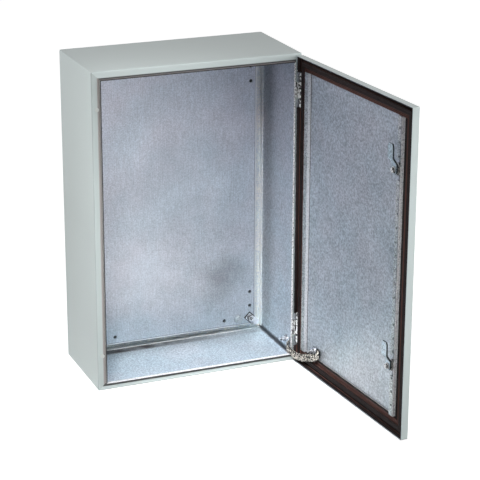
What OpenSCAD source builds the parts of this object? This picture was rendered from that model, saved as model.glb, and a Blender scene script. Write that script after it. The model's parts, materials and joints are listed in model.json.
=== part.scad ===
// Steel wall enclosure: a folded body with a gutter round its opening, a hinged door with two
// quarter-turn cam locks, and a mounting plate on studs.
//
// Frame: +X right, +Z up, the wall is the plane y = 0 and the opening looks towards -Y.
// The origin is the centre of the four wall-fixing holes, on the outer face of the back.
// Profiles are drawn as [u, v]: u runs inwards from a side, v runs forwards from the wall.

/* [Body] */
// Overall width of the body
body_w = 400; // [300:10:600]
// Overall height of the body
body_h = 600; // [400:10:800]
// Depth of the body from the wall to its front flange
body_d = 184; // [140:2:300]
// Thickness of the body and door sheet
sheet_t = 1.5; // [1:0.1:1.8]
// Inside radius of every fold
fold_r = 1; // [0.6:0.1:1.2]
// Radius of the outside corners, seen from the front
corner_r = 3; // [2:0.5:4]
// Width of the front flange, from the side to the gutter lip
flange_w = 14.4; // [13.4:0.1:18]
// Height of the gutter lip in front of the flange
lip_h = 5.5; // [4:0.1:6]
// Height of the back panel's folded edge
back_edge_h = 12; // [8:1:16]
// Diameter of the wall-fixing holes
wall_hole_d = 9; // [7:0.5:11]
// Distance of the wall-fixing holes from the sides
wall_hole_in = 25; // [20:1:32]

/* [Door] */
// Angle by which the door stands open
door_open = 94; // [0:1:120]
// Depth of the door, from the body's front flange to the door's face
door_d = 16; // [15:0.5:22]
// Gap between the door's edge and the body's flange
door_gap = 2; // [1.5:0.1:3]
// How far the door stays inside the body's sides
door_in_side = 1; // [0.5:0.1:2]
// How far the door stays inside the body's top and bottom
door_in_end = 3; // [1:0.5:6]

/* [Gasket] */
// Distance of the gasket's inner edge from the door's edge
gasket_reach = 26.5; // [22:0.5:28]
// Thickness of the gasket's base
gasket_base_t = 3; // [2:0.5:4]
// Width of the bead that the gutter lip meets
bead_w = 10; // [7:0.5:10]
// Gap between the bead and the gutter lip with the door shut
bead_gap = 0.3; // [0.2:0.1:0.6]
// Height of the low rib inside the bead
rib_h = 5.5; // [4:0.5:7]

/* [Door rails] */
// Width of each perforated rail
rail_w = 13; // [12:0.5:20]
// Height of each perforated rail
rail_h = 6; // [4:0.5:8]
// Thickness of the rail sheet
rail_t = 1.2; // [0.8:0.1:1.5]
// Distance of the hinge-side rail from the door's edge
rail_in = 20; // [20:1:44]
// Diameter of the holes in the rails
rail_hole_d = 4.5; // [3:0.5:6]
// Distance from one rail hole to the next
rail_pitch = 25; // [15:5:50]

/* [Hinges] */
// Distance of the hinge pins from the body's side
hinge_in = 5.5; // [5.5:0.1:6]
// Distance of the hinge pins from the body's front flange
hinge_out = 9; // [9:0.1:9.5]
// Distance of the middle of each hinge from the end of the body
hinge_end = 68; // [50:1:100]
// Length of each hinge
hinge_l = 60; // [50:1:80]
// Length of the body's knuckle in the middle of the hinge
frame_knuckle_l = 28; // [20:1:34]
// Diameter of the hinge pins
pin_d = 3.2; // [2.5:0.1:3.6]
// Radial clearance round the pins
pin_clear = 0.05; // [0.02:0.01:0.1]
// Outside diameter of the knuckles
knuckle_d = 5.6; // [5.2:0.1:5.8]

/* [Locks] */
// Distance of the lock axis from the body's side
lock_in = 54; // [50:0.5:58]
// Distance of each lock from the end of the body
lock_end = 123; // [90:1:160]
// Diameter of the lock housing's barrel
barrel_d = 16; // [14:0.5:16.5]
// Diameter of the lock housing's rim
rim_d = 25; // [22:0.5:30]
// Distance from the door's inner face to the end of the barrel
barrel_end = 9.5; // [8.5:0.5:12]
// Diameter of the turning insert
insert_d = 12; // [11:0.1:12.4]
// Radial clearance of the turning insert
insert_clear = 0.05; // [0.02:0.01:0.1]
// Distance from the lock axis to the tip of the cam
cam_l = 47; // [42:0.5:48]
// Width of the cam
cam_w = 16; // [13:0.5:18]
// Thickness of the cam
cam_t = 3; // [2:0.5:4]
// Offset of the cam's tip from its hub, away from the door
cam_crank = 8; // [7.5:0.5:10]

/* [Mounting plate] */
// Gap between the mounting plate's sides and the body's sides
plate_in_side = 22; // [18:1:28]
// Gap between the mounting plate's ends and the body's ends
plate_in_end = 19; // [14:1:26]
// Thickness of the mounting plate
plate_t = 2.5; // [1.5:0.5:4]
// Length of the spacers behind the plate
spacer_l = 21.5; // [14:0.5:40]
// Distance of the plate's studs from the sides
stud_in_x = 58; // [54:1:70]
// Distance of the plate's studs and corner holes from the top and bottom
stud_in_z = 33; // [31:1:45]
// Diameter of the studs
stud_d = 8; // [6:1:10]
// Distance of the corner holes from the sides
corner_hole_in = 33; // [30:1:40]
// Distance of the middle hole of each corner's column from the end
near_hole_in = 58; // [50:1:70]
// Distance of the far hole of each corner's row and column from the side or end
far_hole_in = 87; // [80:1:110]
// Diameter of the plate's holes
plate_hole_d = 7; // [5:0.5:8]

/* [Earthing] */
// Diameter of the earth studs
earth_d = 6; // [5:0.5:6]
// Width of the braided strap
braid_w = 16; // [12:1:16]
// Thickness of the braided strap
braid_t = 1.8; // [1.2:0.1:2.4]
// Distance of the body's earth stud from the front flange
side_stud_in = 52; // [46:1:70]
// Height of the body's earth stud above the underside
side_stud_up = 24; // [20:1:30]
// Distance of the door's earth stud from the body's hinge side
door_stud_in = 62; // [62:1:64]
// Height of the door's earth stud above the body's underside
door_stud_up = 43; // [40:1:48]

/* [Hidden] */
$fn = 64;

paint = [0.80, 0.83, 0.81];
zinc = [0.66, 0.69, 0.73];
bright = [0.82, 0.83, 0.85];
foam = [0.13, 0.11, 0.11];
plastic = [0.72, 0.74, 0.73];
bronze = [0.55, 0.49, 0.41];

fold_out = fold_r + sheet_t;
// Every corner mitre reaches further in than the gutter lip
mitre_in = flange_w + 6;
door_w = body_w - 2 * door_in_side;
door_h = body_h - 2 * door_in_end;
skin_v = body_d + door_d;
skin_in_v = skin_v - sheet_t;
door_edge_v = body_d + door_gap;
bead_top_v = body_d + lip_h + bead_gap;
bead_u = flange_w + sheet_t / 2 - door_in_side;
hinge_x = body_w / 2 - hinge_in;
hinge_v = body_d + hinge_out;
lock_x = lock_in - body_w / 2;
lock_z = body_h / 2 - lock_end;
hinge_z = body_h / 2 - hinge_end;
barrel_end_v = skin_in_v - barrel_end;
plate_back_v = sheet_t + spacer_l;
plate_front_v = plate_back_v + plate_t;
plate_w = body_w - 2 * plate_in_side;
plate_h = body_h - 2 * plate_in_end;
side_stud_v = body_d - side_stud_in;
// Centre line of the braid from the side stud's lug to the door stud's lug, as distances from
// the lower hinge corner of the opening: to the right, towards the wall and up
braid_route = [[-5, 30, 24], [-9, 23, 24], [-14.5, 16.5, 24.5], [-19, 9, 25], [-21, 0, 25],
    [-20.5, -8, 24.5], [-18, -20, 21], [-15.5, -34, 21], [-13.5, -48, 24], [-11.5, -63, 29],
    [-9.5, -77, 34], [-7.5, -88, 38], [-3.7, -92.5, 40], [0.8, -91.5, 41.5], [2.7, -86.5, 42.5],
    [2.7, -80.5, 43]];

// ---- Shared shapes ----

// Quarter of a bent sheet, in the +x +y quadrant round the bend's centre
module bend(r, t) {
    intersection() {
        difference() {
            circle(r + t);
            circle(r);
        }
        square(r + t);
    }
}

// Rounded rectangle, centred
module rounded_rect(w, h, r) {
    square([w - 2 * r, h], center = true);
    square([w, h - 2 * r], center = true);
    for (x = [-1, 1], y = [-1, 1])
        translate([x * (w / 2 - r), y * (h / 2 - r)]) circle(r);
}

// Slab in the plane of the door: outline in x and z, from v0 forwards to v1
module slab(v0, v1) {
    translate([0, -v0, 0]) rotate([90, 0, 0]) linear_extrude(v1 - v0) children();
}

// Round bar along the depth, from v0 forwards to v1
module bar(x, z, v0, v1, d) {
    translate([x, -v0, z]) rotate([90, 0, 0]) cylinder(d = d, h = v1 - v0);
}

// Hexagon bar along the depth, by its size across flats
module hex_bar(x, z, v0, v1, flats) {
    translate([x, -v0, z]) rotate([90, 30, 0]) cylinder(d = flats / cos(30), h = v1 - v0, $fn = 6);
}

// Straight run of a [u, v] profile along a side of the given length, mitred at both ends
module mitred_run(len, reach, v0, v1) {
    intersection() {
        linear_extrude(len, center = true) mirror([0, 1]) children();
        slab(v0, v1) polygon([[0, -len / 2], [reach, reach - len / 2], [reach, len / 2 - reach],
            [0, len / 2]]);
    }
}

module at_left(w) {
    translate([-w / 2, 0, 0]) children();
}

module at_top(h) {
    translate([0, 0, h / 2]) rotate([0, 90, 0]) children();
}

// A form with the same section all round: the child section, drawn for a half width of $half,
// runs up the full height and along the full width, and what both share is left
module crossed(w, h) {
    intersection() {
        linear_extrude(h, center = true) let ($half = w / 2) children();
        rotate([0, 90, 0]) linear_extrude(w, center = true) let ($half = h / 2) children();
    }
}

// Section from v0 forwards to v1 with its two front edges rounded
module front_rounded(v0, v1, r) {
    mirror([0, 1]) {
        translate([-$half, v0]) square([2 * $half, v1 - r - v0]);
        translate([r - $half, v0]) square([2 * ($half - r), v1 - v0]);
        for (x = [-1, 1]) translate([x * ($half - r), v1 - r]) circle(r);
    }
}

// Sheet tray with folded edges, its face in front and its edges reaching back to v0
module tray(w, h, v0, v1) {
    difference() {
        crossed(w, h) front_rounded(v0, v1, fold_out);
        crossed(w - 2 * sheet_t, h - 2 * sheet_t) front_rounded(v0 - 1, v1 - sheet_t, fold_r);
    }
}

// Flat ring between two distances from the edge of a w by h rectangle
module flat_ring(w, h, u0, u1, v0, v1) {
    slab(v0, v1) difference() {
        square([w - 2 * u0, h - 2 * u0], center = true);
        square([w - 2 * u1, h - 2 * u1], center = true);
    }
}

// Ring with a rounded back, standing from v1 back to v0
module rounded_ring(w, h, u0, u1, v0, v1, r) {
    difference() {
        crossed(w - 2 * u0, h - 2 * u0) mirror([0, 1]) front_rounded(-v1, -v0, r);
        crossed(w - 2 * u1, h - 2 * u1) mirror([0, 1]) {
            translate([-$half, v0 - 1]) square([2 * $half, v1 - v0 + 2]);
            difference() {
                translate([-$half - r, v0 - 1]) square([2 * ($half + r), r + 1]);
                for (x = [-1, 1]) translate([x * ($half + r), v0 + r]) circle(r);
            }
        }
    }
}

// Places a piece drawn with the door shut where the open door carries it
module on_door() {
    translate([hinge_x, -hinge_v, 0]) rotate([0, 0, door_open])
        translate([-hinge_x, hinge_v, 0]) children();
}

// ---- Body ----

// Side wall, front flange and the gutter lip that stands up round the opening
module wrap_profile() {
    square([sheet_t, body_d - fold_out]);
    translate([fold_out, body_d - fold_out]) rotate(90) bend(fold_r, sheet_t);
    translate([fold_out, body_d - sheet_t])
        square([flange_w - fold_r - fold_out, sheet_t]);
    translate([flange_w - fold_r, body_d + fold_r]) rotate(-90) bend(fold_r, sheet_t);
    translate([flange_w, body_d + fold_r]) square([sheet_t, lip_h - fold_r]);
}

module wrap_wall(len) {
    mitred_run(len, mitre_in, 0, body_d + lip_h) wrap_profile();
}

module wrap_outline() {
    slab(0, body_d + lip_h) rounded_rect(body_w, body_h, corner_r);
}

module side_wall() {
    intersection() {
        at_left(body_w) wrap_wall(body_h);
        wrap_outline();
    }
}

module end_wall() {
    intersection() {
        at_top(body_h) wrap_wall(body_w);
        wrap_outline();
    }
}

hinge_hole_in = 9.4;
hinge_hole_d = 6;

module left_side() {
    color(paint) difference() {
        side_wall();
        for (z = [-1, 1])
            bar(hinge_hole_in - body_w / 2, z * hinge_z, body_d - 2 * sheet_t, body_d + 1,
                hinge_hole_d);
    }
}

module right_side() {
    color(paint) mirror([1, 0, 0]) side_wall();
}

module top_wall() {
    color(paint) end_wall();
}

module floor_wall() {
    color(paint) mirror([0, 0, 1]) end_wall();
}

// Back: a tray whose edges are folded forwards inside the wrap
module back_panel() {
    pan_w = body_w - 2 * sheet_t;
    pan_h = body_h - 2 * sheet_t;
    color(zinc) difference() {
        mirror([0, 1, 0]) tray(pan_w, pan_h, -back_edge_h, 0);
        for (x = [-1, 1], z = [-1, 1]) {
            bar(x * (body_w / 2 - wall_hole_in), z * (body_h / 2 - wall_hole_in), -1, sheet_t + 1,
                wall_hole_d);
            // Relief where two folded edges meet
            translate([x * pan_w / 2, 0, z * pan_h / 2])
                cube([3 * fold_out, 3 * back_edge_h, 3 * fold_out], center = true);
        }
    }
}

// ---- Mounting plate ----

module each_plate_stud() {
    for (x = [-1, 1], z = [-1, 1])
        translate([x * (body_w / 2 - stud_in_x), 0, z * (body_h / 2 - stud_in_z)]) children();
}

plate_washer_t = 1.6;
plate_nut_h = 6.5;

module plate_studs() {
    color(bright) each_plate_stud()
        bar(0, 0, sheet_t, plate_front_v + plate_washer_t + plate_nut_h + 3, stud_d);
}

module plate_spacers() {
    color(bright) each_plate_stud() difference() {
        bar(0, 0, sheet_t, plate_back_v, stud_d + 5);
        bar(0, 0, 0, plate_back_v + 1, stud_d + 0.4);
    }
}

module plate_washers() {
    color(bright) each_plate_stud() difference() {
        bar(0, 0, plate_front_v, plate_front_v + plate_washer_t, 2 * stud_d);
        bar(0, 0, plate_front_v - 1, plate_front_v + plate_washer_t + 1, stud_d + 0.4);
    }
}

module plate_nuts() {
    nut_v = plate_front_v + plate_washer_t;
    color(bright) each_plate_stud() difference() {
        hex_bar(0, 0, nut_v, nut_v + plate_nut_h, 1.625 * stud_d);
        bar(0, 0, nut_v - 1, nut_v + plate_nut_h + 1, stud_d + 0.1);
    }
}

// Hole places of one corner group, as distances from the side and from the end
group_holes = [[corner_hole_in, stud_in_z], [far_hole_in, stud_in_z],
    [corner_hole_in, near_hole_in], [corner_hole_in, far_hole_in]];

module mounting_plate() {
    color(zinc) difference() {
        slab(plate_back_v, plate_front_v) rounded_rect(plate_w, plate_h, 4);
        each_plate_stud() bar(0, 0, plate_back_v - 1, plate_front_v + 1, stud_d + 1);
        for (x = [-1, 1], z = [-1, 1], hole = group_holes)
            bar(x * (body_w / 2 - hole[0]), z * (body_h / 2 - hole[1]), plate_back_v - 1,
                plate_front_v + 1, plate_hole_d);
    }
}

// Earth terminal in the plate's lower right corner hole
terminal_x = body_w / 2 - corner_hole_in;
terminal_z = stud_in_z - body_h / 2;
tab_t = 1.5;
small_washer_t = 1.2;
earth_nut_h = 5;
tab_angle = -40;

module plate_earth_bolt() {
    color(bright) {
        hex_bar(terminal_x, terminal_z, plate_back_v - 4, plate_back_v, 1.65 * earth_d);
        bar(terminal_x, terminal_z, plate_back_v - 1,
            plate_front_v + tab_t + small_washer_t + earth_nut_h + 5, earth_d);
    }
}

module plate_earth_tab() {
    color(bright) difference() {
        translate([terminal_x, 0, terminal_z]) rotate([0, -tab_angle, 0])
            slab(plate_front_v, plate_front_v + tab_t) translate([7, 0]) rounded_rect(28, 13, 2);
        bar(terminal_x, terminal_z, plate_front_v - 1, plate_front_v + tab_t + 1, earth_d + 0.4);
    }
}

module plate_earth_washer() {
    from = plate_front_v + tab_t;
    color(bright) difference() {
        bar(terminal_x, terminal_z, from, from + small_washer_t, 2 * earth_d);
        bar(terminal_x, terminal_z, from - 1, from + small_washer_t + 1, earth_d + 0.4);
    }
}

module plate_earth_nut() {
    from = plate_front_v + tab_t + small_washer_t;
    color(bright) difference() {
        hex_bar(terminal_x, terminal_z, from, from + earth_nut_h, 1.65 * earth_d);
        bar(terminal_x, terminal_z, from - 1, from + earth_nut_h + 1, earth_d + 0.1);
    }
}

// ---- Hinges ----

module hinge_hole_plugs() {
    color(plastic) for (z = [-1, 1]) {
        bar(hinge_hole_in - body_w / 2, z * hinge_z, body_d, body_d + 1, hinge_hole_d + 1.6);
        bar(hinge_hole_in - body_w / 2, z * hinge_z, body_d - 4, body_d + 0.5, hinge_hole_d - 0.1);
    }
}

// Upright bar on the hinge axis
module hinge_bar(d, from, to) {
    translate([hinge_x, -hinge_v, from]) cylinder(d = d, h = to - from);
}

leaf_t = 1.6;
arm_in = 2.3;
arm_t = 2;
knuckle_gap = 0.5;

module frame_leaf() {
    half = frame_knuckle_l / 2;
    difference() {
        union() {
            // Foot on the body's front flange
            translate([body_w / 2 - flange_w + fold_r + 0.2, -body_d - leaf_t, -half])
                cube([flange_w - fold_r - 4, leaf_t, frame_knuckle_l]);
            // Arm that reaches through the notch in the door's edge
            translate([hinge_x - arm_in - arm_t, -hinge_v, -half])
                cube([arm_t, hinge_out - 0.5 * leaf_t, frame_knuckle_l]);
            hinge_bar(knuckle_d, -half, half);
        }
        hinge_bar(pin_d + 2 * pin_clear, -half - 1, half + 1);
    }
}

module hinge_frame_leaves() {
    color(bright) for (z = [-1, 1]) translate([0, 0, z * hinge_z]) frame_leaf();
}

module hinge_pins() {
    color(bright) for (z = [-1, 1]) translate([0, 0, z * hinge_z]) {
        hinge_bar(pin_d, -hinge_l / 2 - 1, hinge_l / 2 + 0.5);
        hinge_bar(pin_d + 1.8, hinge_l / 2 + 0.2, hinge_l / 2 + 1.8);
    }
}

// The door's edge sits this far from the pin: its inner face to the side, the skin in front
edge_rel_x = hinge_in - door_in_side - sheet_t;
strip_t = 1.8;

module door_leaf() {
    strip_y = door_d - sheet_t - hinge_out - fold_r;
    half = frame_knuckle_l / 2 + knuckle_gap;
    difference() {
        union() {
            translate([hinge_x + edge_rel_x - strip_t, -hinge_v - strip_y, -hinge_l / 2])
                cube([strip_t, strip_y, hinge_l]);
            hinge_bar(knuckle_d, -hinge_l / 2, -half);
            hinge_bar(knuckle_d, half, hinge_l / 2);
        }
        hinge_bar(knuckle_d + 2 * knuckle_gap, -half, half);
        hinge_bar(pin_d + 2 * pin_clear, -hinge_l, hinge_l);
    }
}

module hinge_door_leaves() {
    color(bright) on_door() for (z = [-1, 1]) translate([0, 0, z * hinge_z]) door_leaf();
}

// ---- Door ----

lock_hole_d = barrel_d + 0.4;
// The notch in the hinge edge starts just in front of the pin
notch_l = frame_knuckle_l + 5;
notch_v = hinge_v + 1;

module each_lock() {
    for (z = [-1, 1]) translate([lock_x, 0, z * lock_z]) children();
}

module door_panel() {
    color(paint) on_door() difference() {
        intersection() {
            tray(door_w, door_h, door_edge_v, skin_v);
            slab(door_edge_v, skin_v) rounded_rect(door_w, door_h, corner_r);
        }
        each_lock() bar(0, 0, skin_in_v - 1, skin_v + 1, lock_hole_d);
        for (z = [-1, 1])
            translate([door_w / 2 - 2 * sheet_t, -notch_v, z * hinge_z - notch_l / 2])
                cube([3 * sheet_t, notch_v - door_edge_v + 1, notch_l]);
    }
}

// Moulded seal: a leg along the door's edge, the bead that the lip meets, and a low rib. Its
// base ends at the bead beside the hinge-side rail and reaches the rail on the lock side.
module gasket_ring() {
    leg_t = 2.5;
    rib_w = 6;
    flat_ring(door_w, door_h, sheet_t, sheet_t + leg_t, door_edge_v + 1, skin_v - fold_out);
    flat_ring(door_w, door_h, fold_out, gasket_reach, skin_in_v - gasket_base_t, skin_in_v);
    rounded_ring(door_w, door_h, bead_u - bead_w / 2, bead_u + bead_w / 2, bead_top_v,
        skin_in_v, bead_w / 4);
    rounded_ring(door_w, door_h, gasket_reach - rib_w, gasket_reach, skin_in_v - rib_h,
        skin_in_v, rib_w / 3);
}

module door_gasket() {
    hinge_room = [2 * hinge_in + knuckle_d, 2 * door_d, hinge_l + 6];
    run_l = door_h - 2 * gasket_reach;
    inner_x = door_w / 2 - bead_u - bead_w / 2 - 0.2;
    to_rail_x = lock_rail_x - rail_w / 2 - 0.5;
    color(foam) on_door() difference() {
        union() {
            gasket_ring();
            translate([gasket_reach - 1 - door_w / 2, -skin_in_v, -run_l / 2 - 1])
                cube([to_rail_x + door_w / 2 - gasket_reach + 1, gasket_base_t, run_l + 2]);
        }
        translate([inner_x - gasket_reach, -skin_v, -run_l / 2]) cube([gasket_reach, 2 * door_d, run_l]);
        for (z = [-1, 1])
            translate([body_w / 2 - bead_u - door_in_side + bead_w / 2 + 0.1, -skin_v,
                z * hinge_z - hinge_room[2] / 2]) cube(hinge_room);
    }
}

// Perforated channel, its feet on the door's inner face
rail_l = door_h - 2 * gasket_reach - 1;
hinge_rail_x = door_w / 2 - rail_in - rail_w / 2;
rail_web_v = skin_in_v - rail_h;
lock_nut_flats = 19;
lock_nut_h = 5;
lock_nut_room = lock_nut_flats / 2 + 0.3;
// The outer wall of the lock-side rail passes just outside the lock nuts
lock_rail_x = lock_x - lock_nut_room - rail_t + rail_w / 2;

module rail(x) {
    holes = 2 * floor((rail_l / 2 - rail_pitch / 2) / rail_pitch) + 1;
    translate([x, 0, 0]) difference() {
        slab(rail_web_v, skin_in_v) square([rail_w, rail_l], center = true);
        slab(rail_web_v + rail_t, skin_v)
            square([rail_w - 2 * rail_t, rail_l + 2], center = true);
        for (i = [0:holes - 1])
            bar(0, (i - (holes - 1) / 2) * rail_pitch, rail_web_v - 1, rail_web_v + 2 * rail_t,
                rail_hole_d);
    }
}

module hinge_side_rail() {
    color(zinc) on_door() rail(hinge_rail_x);
}

module lock_side_rail() {
    room = [2 * rail_w, 2 * rail_h, 2 * lock_nut_flats];
    color(zinc) on_door() difference() {
        rail(lock_rail_x);
        // The rail keeps only its outer wall beside each lock
        each_lock() translate([-lock_nut_room, -skin_in_v - 1, -room[2] / 2])
            cube(room);
    }
}

// ---- Locks ----

seal_t = 1;
rim_t = 2.5;
rim_v = skin_v + seal_t;

module lock_seals() {
    color(foam) on_door() each_lock() difference() {
        bar(0, 0, skin_v, rim_v, rim_d - 2);
        bar(0, 0, skin_v - 1, rim_v + 1, lock_hole_d);
    }
}

module lock_housings() {
    color(bright) on_door() each_lock() difference() {
        union() {
            bar(0, 0, barrel_end_v, rim_v + 1, barrel_d);
            bar(0, 0, rim_v, rim_v + rim_t - 1, rim_d);
            translate([0, -(rim_v + rim_t - 1), 0]) rotate([90, 0, 0])
                cylinder(d1 = rim_d, d2 = rim_d - 2, h = 1);
        }
        bar(0, 0, barrel_end_v - 1, rim_v + rim_t + 1, insert_d + 2 * insert_clear);
    }
}

module lock_nuts() {
    color(bright) on_door() each_lock() difference() {
        hex_bar(0, 0, skin_in_v - lock_nut_h, skin_in_v, lock_nut_flats);
        bar(0, 0, skin_in_v - lock_nut_h - 1, skin_in_v + 1, barrel_d + 0.1);
    }
}

square_s = 8;
cam_gap = 0.2;
cam_back_v = barrel_end_v - cam_gap;
cam_washer_t = 1;
cam_screw_h = 3;
cam_screw_d = 4;

// Turning insert with a two-wing key recess in front and a square for the cam behind
module lock_insert(z) {
    recess_d = 9;
    recess_depth = 7;
    face_v = rim_v + rim_t - 0.8;
    color(bright) on_door() translate([lock_x, 0, z]) difference() {
        union() {
            difference() {
                bar(0, 0, cam_back_v, face_v, insert_d);
                bar(0, 0, face_v - recess_depth, face_v + 1, recess_d);
            }
            bar(0, 0, face_v - recess_depth - 0.5, face_v - 1, 3);
            slab(face_v - recess_depth - 0.5, face_v - 1) square([recess_d - 1.4, 1.6], center = true);
            slab(cam_back_v - cam_t + 0.1, cam_back_v + 0.5) square(square_s, center = true);
        }
        bar(0, 0, cam_back_v - cam_t - 1, cam_back_v + 8, cam_screw_d + 0.1);
    }
}

// Cranked cam, drawn pointing up: a side view cut to the outline seen from behind
module lock_cam(z) {
    crank_at = 10;
    crank_run = 12;
    v0 = cam_back_v;
    hub = cam_w / 2;
    tip = cam_l - 6;
    color(bright) on_door() translate([lock_x, 0, z]) difference() {
        intersection() {
            translate([cam_w / 2, 0, 0]) rotate([0, -90, 0]) linear_extrude(cam_w)
                polygon([[-hub, -v0], [crank_at + 1, -v0], [crank_at + crank_run + 1, cam_crank - v0],
                    [cam_l, cam_crank - v0], [cam_l, cam_crank + cam_t - v0],
                    [crank_at + crank_run, cam_crank + cam_t - v0], [crank_at, cam_t - v0],
                    [-hub, cam_t - v0]]);
            slab(v0 - cam_crank - 2 * cam_t, v0 + cam_t) union() {
                circle(hub);
                translate([-hub, 0]) square([cam_w, tip]);
                translate([-hub + 2, 0]) square([cam_w - 4, cam_l]);
                for (x = [-1, 1]) translate([x * (hub - 6), tip]) circle(6);
            }
        }
        slab(v0 - cam_t - 1, v0 + 1) square(square_s + 0.2, center = true);
    }
}

module cam_screw(z) {
    washer_v = cam_back_v - cam_t;
    color(bright) on_door() translate([lock_x, 0, z]) {
        bar(0, 0, washer_v - cam_washer_t, washer_v, 2 * cam_screw_d + 4);
        hex_bar(0, 0, washer_v - cam_washer_t - cam_screw_h, washer_v - cam_washer_t + 0.1,
            2 * cam_screw_d);
        bar(0, 0, washer_v - 0.1, cam_back_v + 6, cam_screw_d);
    }
}

module upper_lock_insert() {
    lock_insert(lock_z);
}

module upper_lock_cam() {
    lock_cam(lock_z);
}

module upper_cam_screw() {
    cam_screw(lock_z);
}

module lower_lock_insert() {
    lock_insert(-lock_z);
}

module lower_lock_cam() {
    lock_cam(-lock_z);
}

module lower_cam_screw() {
    cam_screw(-lock_z);
}

// ---- Earthing strap ----

lug_t = 1.5;
stud_len = 14;
washer_t = 1.2;

// A fastener set along +z of its own frame: stud, washer under the lug, lug, nut
module earth_stud() {
    cylinder(d = earth_d, h = stud_len);
}

module earth_washer() {
    difference() {
        cylinder(d = 2 * earth_d, h = washer_t);
        translate([0, 0, -1]) cylinder(d = earth_d + 0.4, h = washer_t + 2);
    }
}

module earth_nut() {
    translate([0, 0, washer_t + lug_t]) difference() {
        cylinder(d = 1.65 * earth_d / cos(30), h = earth_nut_h, $fn = 6);
        translate([0, 0, -1]) cylinder(d = earth_d + 0.1, h = earth_nut_h + 2);
    }
}

// Eye and crimped ferrule, pointing along +x of its own frame
eye_d = 15;

module strap_lug(reach) {
    ferrule_t = braid_t + 1.6;
    mid = washer_t + lug_t / 2;
    difference() {
        union() {
            translate([0, 0, washer_t]) cylinder(d = eye_d, h = lug_t);
            translate([0, -eye_d / 3, washer_t]) cube([reach - 6, 2 * eye_d / 3, lug_t]);
            translate([reach - 8, -braid_w / 2 - 0.6, mid - ferrule_t / 2])
                cube([8, braid_w + 1.2, ferrule_t]);
        }
        translate([0, 0, -1]) cylinder(d = earth_d + 0.4, h = washer_t + lug_t + 2);
    }
}

// Frames of the two earth studs: +z away from the sheet, +x towards the strap
module at_side_stud() {
    translate([body_w / 2 - sheet_t, -side_stud_v, side_stud_up - body_h / 2])
        rotate([0, -90, 0]) rotate([0, 0, -90]) children();
}

module at_door_stud() {
    on_door() translate([body_w / 2 - door_stud_in, -skin_in_v, door_stud_up - body_h / 2])
        rotate([-90, 0, 0]) rotate([0, 0, 180]) children();
}

side_lug_reach = 22;
door_lug_reach = 15;

module side_earth_stud() {
    color(bright) at_side_stud() earth_stud();
}

module side_earth_washer() {
    color(bright) at_side_stud() earth_washer();
}

module side_earth_nut() {
    color(bright) at_side_stud() earth_nut();
}

module side_strap_lug() {
    color(bright) at_side_stud() strap_lug(side_lug_reach);
}

module door_earth_stud() {
    color(bright) at_door_stud() earth_stud();
}

module door_earth_washer() {
    color(bright) at_door_stud() earth_washer();
}

module door_earth_nut() {
    color(bright) at_door_stud() earth_nut();
}

module door_strap_lug() {
    color(bright) at_door_stud() strap_lug(door_lug_reach);
}

// Flat braid on edge: a ribbon swept along a smooth curve through the route's points
function route_at(i) = braid_route[max(0, min(len(braid_route) - 1, i))];
function curve(i, t) = let (a = route_at(i - 1), b = route_at(i), c = route_at(i + 1),
    d = route_at(i + 2)) 0.5 * (2 * b + (c - a) * t + (2 * a - 5 * b + 4 * c - d) * t * t
    + (3 * b - a - 3 * c + d) * t * t * t);
braid_steps = 3;
braid_line = concat([for (i = [0:len(braid_route) - 2], k = [0:braid_steps - 1])
    curve(i, k / braid_steps)], [braid_route[len(braid_route) - 1]]);
function across(i) = let (a = braid_line[max(0, i - 1)],
    b = braid_line[min(len(braid_line) - 1, i + 1)], d = [b[0] - a[0], b[1] - a[1]],
    n = norm(d)) [-d[1] / n, d[0] / n, 0];
function ribbon_ring(i) = [for (c = [[-1, -1], [1, -1], [1, 1], [-1, 1]])
    braid_line[i] + across(i) * c[0] * braid_t / 2 + [0, 0, c[1] * braid_w / 2]];

module earth_strap() {
    rings = len(braid_line);
    points = [for (i = [0:rings - 1]) each ribbon_ring(i)];
    sides = [for (i = [0:rings - 2], k = [0:3])
        let (a = 4 * i + k, b = 4 * i + (k + 1) % 4) [a, b, b + 4, a + 4]];
    color(bronze) translate([body_w / 2, -body_d, -body_h / 2])
        polyhedron(points, concat([[3, 2, 1, 0]], sides, [[for (k = [0:3]) 4 * rings - 4 + k]]));
}

left_side();
right_side();
top_wall();
floor_wall();
back_panel();
plate_studs();
plate_spacers();
mounting_plate();
plate_washers();
plate_nuts();
plate_earth_bolt();
plate_earth_tab();
plate_earth_washer();
plate_earth_nut();
hinge_hole_plugs();
hinge_frame_leaves();
hinge_pins();
side_earth_stud();
side_earth_washer();
side_earth_nut();
side_strap_lug();
earth_strap();
door_panel();
door_gasket();
hinge_side_rail();
lock_side_rail();
hinge_door_leaves();
lock_seals();
lock_housings();
lock_nuts();
door_earth_stud();
door_earth_washer();
door_earth_nut();
door_strap_lug();
upper_lock_insert();
upper_lock_cam();
upper_cam_screw();
lower_lock_insert();
lower_lock_cam();
lower_cam_screw();
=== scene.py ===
import json
import math

import bpy
import numpy as np
from mathutils import Matrix, Quaternion, Vector


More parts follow.
